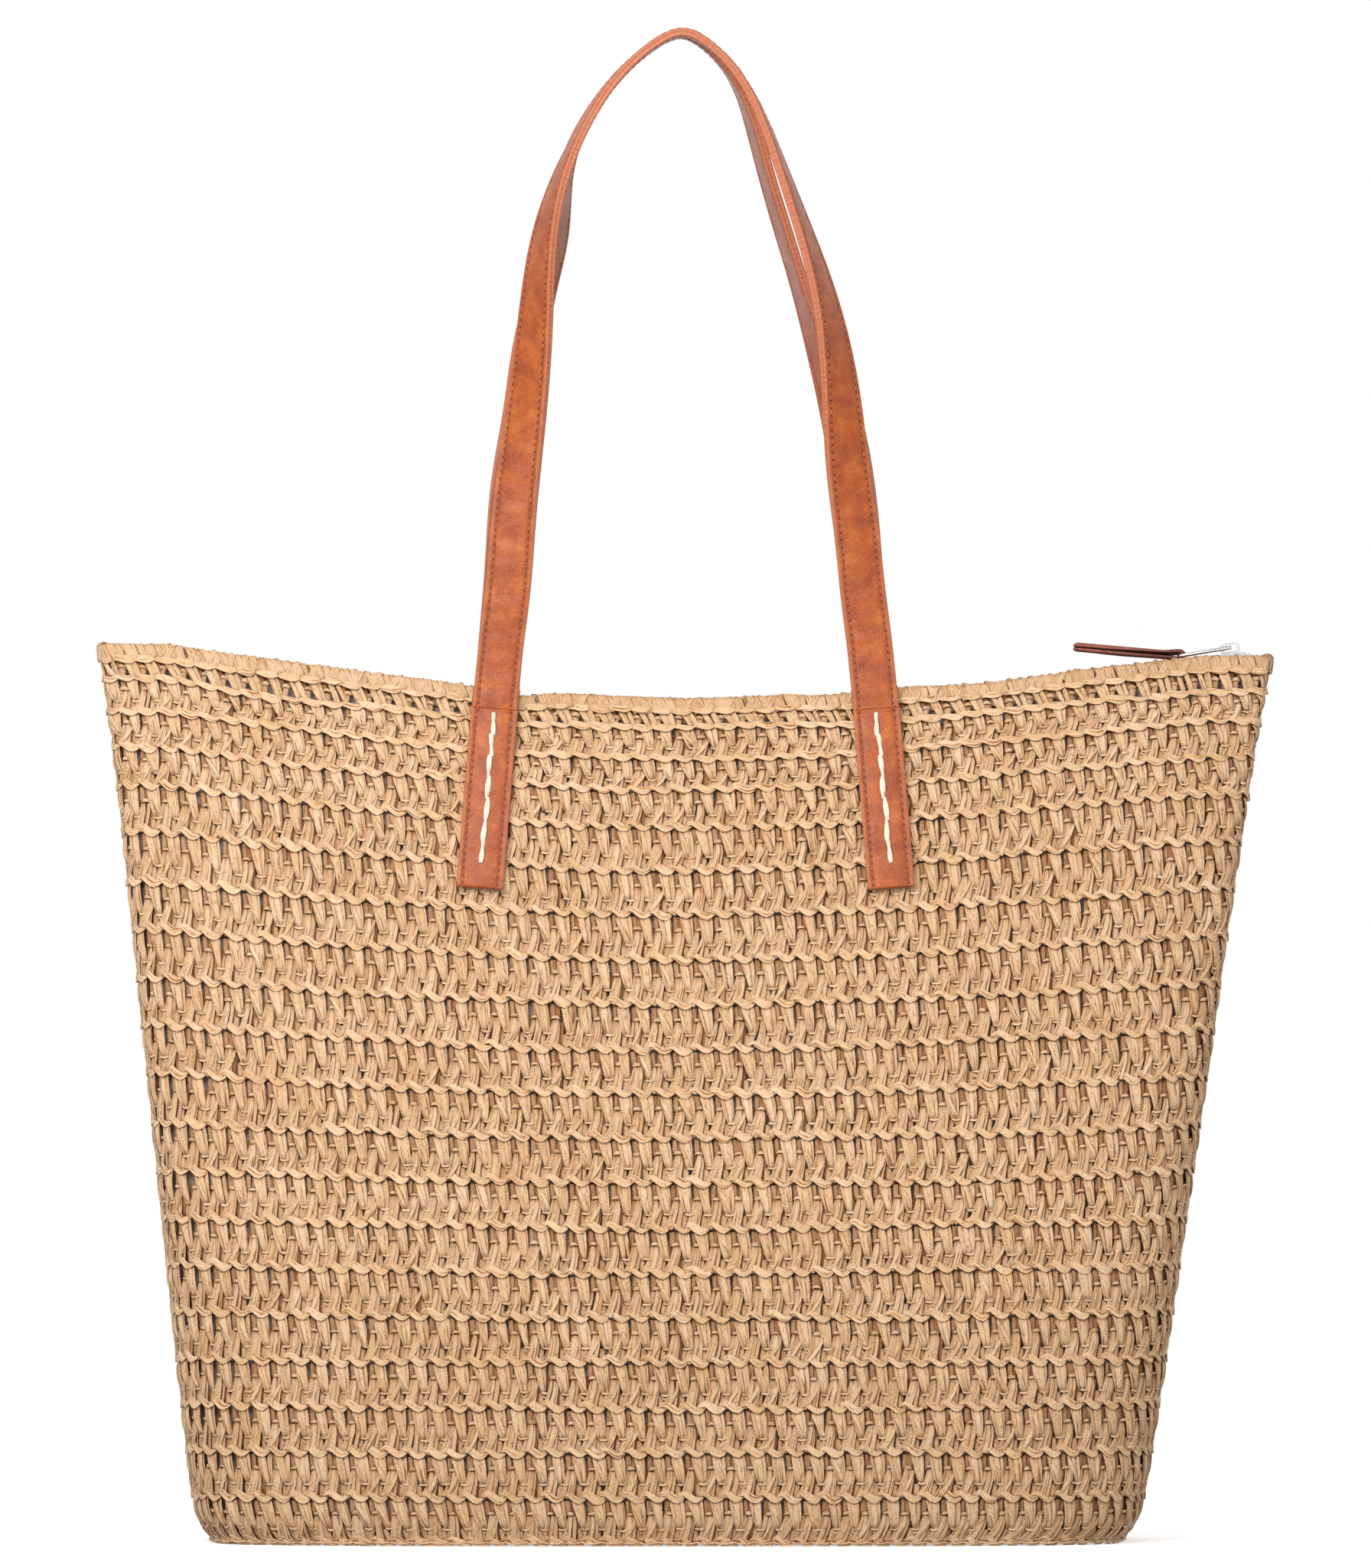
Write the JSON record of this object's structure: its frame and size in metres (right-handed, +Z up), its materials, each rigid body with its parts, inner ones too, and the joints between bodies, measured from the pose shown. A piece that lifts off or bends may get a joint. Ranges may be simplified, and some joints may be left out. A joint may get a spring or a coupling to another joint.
{
  "type": "beach bag",
  "caption": "Wide crocheted straw tote with a flat oval base, a curved zip across the mouth and a pair of tall arched leather handles sewn flat on the panels.",
  "frame": {"origin": "middle of the base's underside, which stands on the floor", "axes": "+Z up, +X to the right seen from the front, the front panel faces -Y"},
  "size_m": [0.4827, 0.138, 0.6217],
  "materials": {
    "straw": "crocheted twisted paper straw, matt with a faint sheen on the folds",
    "lining": "plain woven cotton lining, mauve grey",
    "zip_tape": "woven zip tape, straw coloured",
    "zip_coil": "moulded coil teeth",
    "zip_metal": "polished nickel plate",
    "strap_leather": "saddle tan leather, semi-gloss, fine cross creases",
    "strap_backing": "paler tan leather with painted edges",
    "pull_leather": "reddish brown leather, glazed",
    "hand_thread": "thick waxed cotton thread, cream"
  },
  "bodies": {
    "bag": {"straw_body": "straw", "straw_base": "straw", "straw_rim": "straw", "lining_walls": "lining", "lining_base": "lining", "zip_tape_front": "zip_tape", "zip_tape_back": "zip_tape", "zip_coil_front": "zip_coil", "zip_coil_back": "zip_coil", "zip_top_stops": "zip_metal", "zip_bottom_stop": "zip_metal", "hand_stitches": "hand_thread", "front_left_tab": "strap_leather", "front_left_tab_backing": "strap_backing", "front_left_anchor_patch": "lining", "front_right_tab": "strap_leather", "front_right_tab_backing": "strap_backing", "front_right_anchor_patch": "lining", "back_left_tab": "strap_leather", "back_left_tab_backing": "strap_backing", "back_left_anchor_patch": "lining", "back_right_tab": "strap_leather", "back_right_tab_backing": "strap_backing", "back_right_anchor_patch": "lining"},
    "front_handle": {"front_handle_outer": "strap_leather", "front_handle_backing": "strap_backing"},
    "back_handle": {"back_handle_outer": "strap_leather", "back_handle_backing": "strap_backing"},
    "zip_slider_body": {"zip_slider": "zip_metal", "zip_slider_bridge": "zip_metal"},
    "zip_link": {"zip_pull_link": "zip_metal"},
    "zip_pull": {"zip_pull_leather": "pull_leather"}
  },
  "joints": [
    {"name": "front_handle_fold", "type": "hinge", "parent": "bag", "child": "front_handle", "pos_m": [0, -0.0189, 0.352], "axis": [1, 0, 0], "range_deg": [0, 160]},
    {"name": "back_handle_fold", "type": "hinge", "parent": "bag", "child": "back_handle", "pos_m": [0, 0.0189, 0.352], "axis": [-1, 0, 0], "range_deg": [0, 160]},
    {"name": "zip_run", "type": "hinge", "parent": "bag", "child": "zip_slider_body", "pos_m": [0, 0, 1.7945], "axis": [0, 1, 0], "range_deg": [0, 15.7]},
    {"name": "zip_link_swing", "type": "hinge", "parent": "zip_slider_body", "child": "zip_link", "pos_m": [0.22379, 0, 0.36704], "axis": [0, 1, 0], "range_deg": [0, 120]},
    {"name": "zip_pull_swing", "type": "hinge", "parent": "zip_link", "child": "zip_pull", "pos_m": [0.20289, 0, 0.36354], "axis": [0, 1, 0], "range_deg": [-10, 70]}
  ]
}
